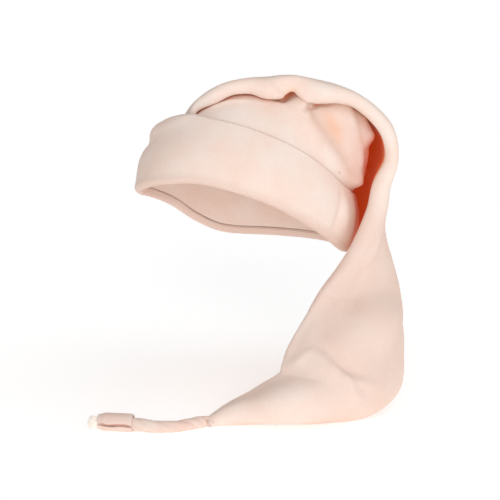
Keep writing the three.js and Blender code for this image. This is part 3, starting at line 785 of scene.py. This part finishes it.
def tail_points(at, share, out, aside):
    """Places on the tail's smooth skin; all four arguments are arrays of one shape."""
    near, middle, far, near_roll, flat, far_roll = rails(at)
    last = len(TAIL_RAILS) - 1
    ahead = across_place(*rails(np.minimum(last, at + 0.05))[:3], share)
    behind = across_place(*rails(np.maximum(0, at - 0.05))[:3], share)
    across = across_place(near, middle, far, share + 0.01) - across_place(near, middle, far, share - 0.01)
    across /= np.linalg.norm(across, axis=-1, keepdims=True)
    outward = np.cross(ahead - behind, across)
    outward /= np.linalg.norm(outward, axis=-1, keepdims=True)
    half = (flat + (near_roll - flat) * rise(share, ROLL_SHARE, 0)
            + (far_roll - flat) * rise(share, 1 - ROLL_SHARE, 1))[..., None]
    skin = outward * out[..., None] + across * aside[..., None]
    return rest_on_crown(across_place(near, middle, far, share) + skin * half, out, at)


def rest_on_crown(points, out, at):
    """The outer side clears the crown by a whole wall, the underside only just, and both the cuff."""
    upper = rise(out, -0.25, 0.25)
    angle = np.degrees(np.arctan2(points[..., 0], -points[..., 1]))
    over_cuff = rise(cuff_height(CUFF_EDGE, angle) - points[..., 2], 0, 10) * rise(at, 1, 2)
    lift = TAIL_LIFT - TAIL_THINNER * rise(at, 2, 0)
    stand = CROWN_STAND + UNDER_LIFT + (lift - UNDER_LIFT) * upper + CUFF_LIFT * over_cuff
    brow = fold_push(points, {"brow": CROWN_FOLDS["brow"]})
    cleared = clear_of_head(points, stand + brow)
    cleared[..., 2] = np.maximum(cleared[..., 2], FLOOR)
    return cleared


print("points round the tail's section:", 2 * (SIDE_STEPS + ROLL_STEPS))

# %% Folds of the tail
TAIL_FOLDS = {
    # along, across, up, half width, height
    "over pocket": [(25, -35, -1, 4, -3), (30, -31, -2, 5, -6), (37, -28, -1, 5, -5),
                    (44, -27, -1, 5, -4.5), (51, -27, -4, 5, -5), (57, -28, -7, 4, -2)],
    "kink": [(116, -29, -110, 4, -1), (107, -38, -132, 5, -3), (100, -46, -142, 5, -3),
             (88, -56, -148, 6, -1)],
    "side highlight": [(98, -49, -147, 6, 2), (91, -65, -164, 6, 3), (87, -76, -171, 6, 1)],
    "streak": [(75, -68, -159, 4, -1), (75, -76, -167, 4, -1.5), (74, -84, -176, 4, -0.5)],
    "edge valley": [(60, -86, -170, 5, -0.5), (53, -94, -184, 6, -1.5), (47, -101, -198, 5, -1)],
    "upper lip": [(60, -109, -196, 5, 2), (69, -113, -202, 6, 3.5), (78, -116, -210, 6, 3.5),
                  (90, -115, -217, 6, 2)],
    "lower fold": [(52, -107, -200, 4, -1), (63, -112, -204, 4, -3), (70, -117, -211, 4, -4),
                   (79, -119, -219, 4, -4), (86, -121, -230, 5, -3), (95, -116, -242, 6, -1)],
    "branch": [(79, -119, -219, 4, -2), (95, -114, -225, 4, -2.5), (109, -102, -233, 6, -0.5)],
    "to the floor": [(31, -100, -217, 5, -1.5), (43, -107, -208, 5, -2.5), (52, -107, -201, 4, -1)],
    "floor dimple": [(24, -114, -234, 7, -1), (38, -118, -236, 7, -2), (54, -120, -238, 7, -1)],
}
# painted bounce light near the pocket, in the same kind of table as the crown's
TAIL_PAINTED_BOUNCE = {"near pocket": [(18, -32, 0, 4, 0.2), (28, -27, 0, 5, 0.7), (38, -25, 2, 5, 0.6)]}
print("folds of the tail:", ", ".join(TAIL_FOLDS))

# %% Tail
TAIL_SECTIONS = 300
TAIL_CLOTH = 1.2


def tail_grid():
    """Sections from the start over the crown to the gather, pushed out and in by the folds."""
    share, out, aside = flattened_loop()
    at = np.linspace(0, len(TAIL_RAILS) - 1, TAIL_SECTIONS)
    shape = (TAIL_SECTIONS, len(share))
    at, share, out, aside = (np.broadcast_to(v, shape) for v in (at[:, None], share, out, aside))
    points = tail_points(at, share, out, aside)
    push = fold_push(points, TAIL_FOLDS) + 0.3 * lumps(points, size=55, seed=3)
    points = points - grid_normals(points) * push[..., None]
    points[..., 2] = np.maximum(points[..., 2], FLOOR)
    return points


def mark_tail():
    """Painted shade, glow and bounce light on the side toward the crown; painted shade lower down where the
    cloth hangs.
    """
    along, across, up = mesh_points(tail)
    inside = rise(along, 120, 114) * rise(along, 84, 92) * rise(across, 80, 60)
    inside = inside * rise(facing(tail, 20, 0, -90), -0.18, 0.12)
    mark(tail, "shade", inside * rise(across, -20, -10) * rise(up, -34, -46) * rise(up, -160, -140))
    warm = inside * rise(across, -32, -24) * rise(up, -20, -30) * rise(up, -98, -86)
    mark(tail, "painted_bounce", warm + fold_push(flop(along, across, up), TAIL_PAINTED_BOUNCE))
    mark(tail, "painted_lower_shade", 0.6 * rise(up, -60, -120) * (1 - 0.6 * rise(along, 66, 36)))


tail = cloth_wall("tail_cloth", tail_grid(), TAIL_CLOTH, peach_velour)
mark_tail()
cap_ride(tail, "tail")

# %% [markdown]
# ## Twisted tip
# The bag's end is gathered and twisted hard like a sweet wrapper. A real twisted tube is all hidden
# folds inside, and only its outside shows, so the tip is one rope whose section is a few lobes that turn
# along it. The grooves between the lobes are narrow, because cloth folds sharply there.

# %% Twisted tip
TIP_RAIL = np.array([
    # along, across, radius, lift
    (-26, -106, 2.6, 2.6),
    (-34, -108, 3.8, 1.2),
    (-38, -110, 4.7, 0),
    (-44, -113, 4.6, 0),
    (-52, -118, 4.5, 0),
    (-66, -122, 4.6, 0),
    (-80, -121.5, 5, 0.3),
    (-92, -119, 4.9, 1.4),
    (-108, -117, 4.8, 1.8),
    (-119, -115.5, 4.4, 2.2),
    (-124, -115, 3.2, 3),
], float)
TWIST_TURNS = 2.6
TWIST_DEPTH = 0.45


def tip_grid(rows, sides):
    """Rings along the rope; a ring's radius swings with the lobes, which turn on the way."""
    last = len(TIP_RAIL) - 1
    at = np.linspace(0, last, rows)[:, None]
    along, across, radius, lift = (curve_through(np.arange(last + 1), TIP_RAIL[:, k], at) for k in range(4))
    way = np.gradient(along, axis=0), np.gradient(across, axis=0)
    length = np.hypot(*way)
    middle = flop(along, across, FLOOR + lift + radius + TWIST_DEPTH)
    aside = flop(-way[1] / length, way[0] / length, 0 * length)
    angle = np.arange(sides) * 2 * np.pi / sides
    lobe = np.abs(np.cos(1.5 * (angle - 2 * np.pi * TWIST_TURNS * at / last)))
    size = (radius + TWIST_DEPTH * (2.2 * lobe**0.6 - 1.2))[..., None]
    ring = middle + aside * np.cos(angle)[None, :, None] * size
    ring[..., 2] += (np.sin(angle)[None, :, None] * size)[..., 0]
    return ring


def capped_tube(name, rings, material):
    """A tube of closed rings with a point at the middle of each end."""
    number = numbered(rings)
    faces = tube_faces(number)
    for ring, centre, step in ((number[0], number.size, -1), (number[-1], number.size + 1, 1)):
        faces += np.stack([ring, np.roll(ring, step), np.full(len(ring), centre)], -1).tolist()
    centres = np.stack([rings[0].mean(axis=0), rings[-1].mean(axis=0)])
    return make_mesh(name, np.concatenate([rings.reshape(-1, 3), centres]), faces, material)


def mark_tip():
    """Painted shade and a faint painted glow in the slit of the wrap, where the rope shows between its
    edges.
    """
    along = mesh_points(tip)[0]
    mark(tip, "shade", 0.24 * rise(along, -94, -96) * rise(along, -119.5, -117.5))


tip = capped_tube("twisted_tip", tip_grid(240, 60), twisted_velour)
mark_tip()
cap_ride(tip, "tail_tip")

# %% [markdown]
# ## Wrapped end
# A small strip of the same cloth is wrapped round the end of the tip. Its edges do not quite meet, and
# the slit between them faces the wearer's front left. A tube with a slot cut out would have straight,
# hard lips; a strip rolled up section by section can gape and wave as cloth does.

# %% Wrapped end
SLEEVE_START = (-92.5, -119)             # along and across, at the middle
SLEEVE_WAY = (-28.5, 4)                  # from there to its far end
SLEEVE_RADIUS = 7.5
SLEEVE_CLOTH = 1.4
SLEEVE_LIP = 0.5                         # its lower edge stands out by this much
LOWER_EDGE, UPPER_EDGE = 3.36, 3.13      # where the wrap starts and, a turn later, ends, in radians


def sleeve_grid(rows, steps):
    """Sections of the wrap; its slit is wavy and gapes, and it is drawn in at both ends."""
    share = np.linspace(0, 1, rows)[:, None]
    (along, across), (way_along, way_across) = SLEEVE_START, SLEEVE_WAY
    middle = flop(along + way_along * share, across + way_across * share, FLOOR + SLEEVE_RADIUS)
    aside = flop(way_across, -way_along, 0) / np.hypot(way_along, way_across)
    waves = 0.06 * np.sin(2 * np.pi * (1.6 * share + 0.25))
    gape = 0.03 + 0.07 * np.sin(3 * np.pi * share) ** 2 + 0.1 * rise(share, 0.8, 1)
    round_it = np.linspace(0, 1, steps)[None, :]
    turn = LOWER_EDGE + waves + (UPPER_EDGE - LOWER_EDGE + 2 * np.pi - gape) * round_it
    lip = SLEEVE_LIP * rise(round_it, 0.08, 0)
    draw_in = 1 - 0.2 * rise(share, 0.78, 1) - 0.06 * rise(share, 0.1, 0)
    outline = []
    for inset, order in ((0, slice(None)), (SLEEVE_CLOTH, slice(None, None, -1))):
        size = (SLEEVE_RADIUS - inset + lip[:, order]) * draw_in
        ring = middle + aside * (size * np.cos(turn[:, order]))[..., None]
        ring[..., 2] += size * np.sin(turn[:, order])
        ring[..., 2] = np.maximum(ring[..., 2], FLOOR)
        outline.append(ring)
    return np.concatenate(outline, axis=1)


def closed_strip(name, rings, material):
    """A strip whose sections are closed outlines; each end is closed by quads between its two faces."""
    number = numbered(rings)
    faces = tube_faces(number)
    for outline in (number[0], number[-1][::-1]):
        there, back = np.split(outline, 2)
        back = back[::-1]
        faces += np.stack([there[:-1], there[1:], back[1:], back[:-1]], -1).tolist()
    return make_mesh(name, rings, faces, material)


sleeve = closed_strip("wrapped_end", sleeve_grid(60, 90), twisted_velour)
cap_ride(sleeve, "end_sleeve")

# %% [markdown]
# ## Threads
# Loose threads stand out of the cut end, a gathering thread closes the tail, and two small knots hold
# the cuff's side seam. Each thread is one long bead laid along its own direction, so a node group makes
# them all: it needs only a point and a direction for each.

# %% Node group for threads
def thread_group():
    """Points with a direction become short threads, a little out of line, as the inputs say."""
    tree = bpy.data.node_groups.new("threads", "GeometryNodeTree")
    for name, kind in (("Points", "Geometry"), ("Length", "Float"), ("Thickness", "Float"),
                       ("Looseness", "Float"), ("Seed", "Int"), ("Material", "Material")):
        tree.interface.new_socket(name, in_out="INPUT", socket_type="NodeSocket" + kind)
    tree.interface.new_socket("Threads", in_out="OUTPUT", socket_type="NodeSocketGeometry")
    given = add(tree, "NodeGroupInput").outputs
    bead = add(tree, "GeometryNodeMeshIcoSphere", {"Radius": 0.5, "Subdivisions": 2})
    size = add(tree, "ShaderNodeCombineXYZ", {"X": given["Thickness"], "Y": given["Thickness"],
                                              "Z": given["Length"]})
    thread = add(tree, "GeometryNodeTransform", {"Geometry": bead.outputs["Mesh"],
                                                 "Scale": size.outputs["Vector"]})
    toward = add(tree, "GeometryNodeInputNamedAttribute", {"Name": "toward"}, data_type="FLOAT_VECTOR")
    aimed = add(tree, "FunctionNodeAlignRotationToVector", {"Vector": toward.outputs["Attribute"]}, axis="Z")
    back = add(tree, "ShaderNodeMath", {0: given["Looseness"], 1: -1.0}, operation="MULTIPLY")
    lean = add(tree, "FunctionNodeRandomValue", {"Min": back.outputs[0], "Max": given["Looseness"],
                                                 "Seed": given["Seed"]}, data_type="FLOAT_VECTOR")
    leaning = add(tree, "FunctionNodeEulerToRotation", {"Euler": lean.outputs["Value"]})
    turned = add(tree, "FunctionNodeRotateRotation", {"Rotation": aimed.outputs["Rotation"],
                                                      "Rotate By": leaning.outputs["Rotation"]},
                 rotation_space="LOCAL")
    placed = add(tree, "GeometryNodeInstanceOnPoints", {"Points": given["Points"],
                                                        "Instance": thread.outputs["Geometry"],
                                                        "Rotation": turned.outputs["Rotation"]})
    real = add(tree, "GeometryNodeRealizeInstances", {"Geometry": placed.outputs["Instances"]})
    smooth = add(tree, "GeometryNodeSetShadeSmooth", {"Geometry": real.outputs["Geometry"]})
    finished = add(tree, "GeometryNodeSetMaterial", {"Geometry": smooth.outputs["Geometry"],
                                                     "Material": given["Material"]})
    add(tree, "NodeGroupOutput", {"Threads": finished.outputs["Geometry"]})
    return tree


def make_threads(name, tree, slot, places, toward, **inputs):
    """Run the node group on points in millimetres and keep the result as a plain mesh."""
    mesh = bpy.data.meshes.new(name)
    mesh.from_pydata((places * MM).tolist(), [], [])
    mesh.attributes.new("toward", "FLOAT_VECTOR", "POINT")
    mesh.attributes["toward"].data.foreach_set("vector", toward.astype(np.float32).ravel())
    piece = put_in_scene(name, mesh)
    maker = piece.modifiers.new("threads", "NODES")
    maker.node_group = tree
    for item in tree.interface.items_tree:
        if item.name in inputs:
            maker[item.identifier] = inputs[item.name]
    made = bpy.data.meshes.new_from_object(piece.evaluated_get(bpy.context.evaluated_depsgraph_get()))
    piece.modifiers.clear()
    piece.data = made
    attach(piece, "root")
    print(f"{name}: {len(places)} threads, {len(made.polygons)} faces")


threads = thread_group()
print("node group:", threads.name)

# %% Frayed end
FRAY_THREADS = 300
CUT_END = (-120, -115.5, FLOOR + 6.9)    # along, across and up, at its middle
CUT_RADIUS = 3.8
GOLDEN_TURN = np.radians(137.5)          # from thread to thread, so they spread evenly


def frayed_threads():
    """Places and directions: they lean out toward the rim, and reach farthest in the middle."""
    number = np.arange(FRAY_THREADS)
    out = np.sqrt((number + 0.5) / FRAY_THREADS)
    turn = number * GOLDEN_TURN
    sideways, upward = out * np.cos(turn), out * np.sin(turn)
    way = flop(-1, 0.14 + 0.35 * sideways, 0.3 * upward - 0.08)
    along, across, up = CUT_END
    root = flop(along, across + CUT_RADIUS * sideways, up + CUT_RADIUS * upward)
    reach = 3.6 + 3.2 * (1 - out) + 0.8 * np.cos(5 * turn)
    return root + way * reach[:, None], way


# the threads' glow is painted light that lifts the shade among them
cut_cotton = plain_material("cut_cotton_ends", "#faf2ea", roughness=0.95, glow=0.08)
make_threads("frayed_end", threads, "twisted_velour", *frayed_threads(), Length=0.0075, Thickness=0.0005,
             Looseness=0.16, Seed=4, Material=cut_cotton)

# %% Gathering thread
GATHER_STITCHES = 30
GATHER_MIDDLE = (-32.5, -107.4, FLOOR + 5.4)     # along, across and up
GATHER_RADIUS = 3.7                              # they lie sunk in the cloth
SHOWING_ANGLE = 3.0                              # but for the one here, in radians


def gathering_stitches():
    """Places and directions of stitches in a ring round the gathered end."""
    turn = np.arange(GATHER_STITCHES) * 2 * np.pi / GATHER_STITCHES
    size = GATHER_RADIUS + 1.2 * np.exp(-(((turn - SHOWING_ANGLE) / 0.4) ** 2))
    along, across, up = GATHER_MIDDLE
    ring = flop(along, across + size * np.cos(turn), up + size * np.sin(turn))
    return ring, flop(0, -np.sin(turn), np.cos(turn))


pink_thread = plain_material("pink_sewing_thread", "#e6c0b2", roughness=0.8, glow=0.0)
make_threads("gathering_thread", threads, "velour", *gathering_stitches(), Length=0.0016,
             Thickness=0.0008, Looseness=0.1, Seed=2, Material=pink_thread)

# %% Knots
KNOT_PLACES = flop([77, 83], [-28.5, -18], [-67, -83])
KNOT_THREADS = 14
KNOT_SPREAD = 0.3


def knot_threads():
    """Places and directions of the short threads that make up the knots."""
    chance = np.random.default_rng(6)
    middles = np.repeat(KNOT_PLACES, KNOT_THREADS, axis=0)
    return middles + chance.normal(size=middles.shape) * KNOT_SPREAD, chance.normal(size=middles.shape)


make_threads("seam_knots", threads, "velour", *knot_threads(), Length=0.0016, Thickness=0.0005,
             Looseness=0.5, Seed=3, Material=pink_thread)
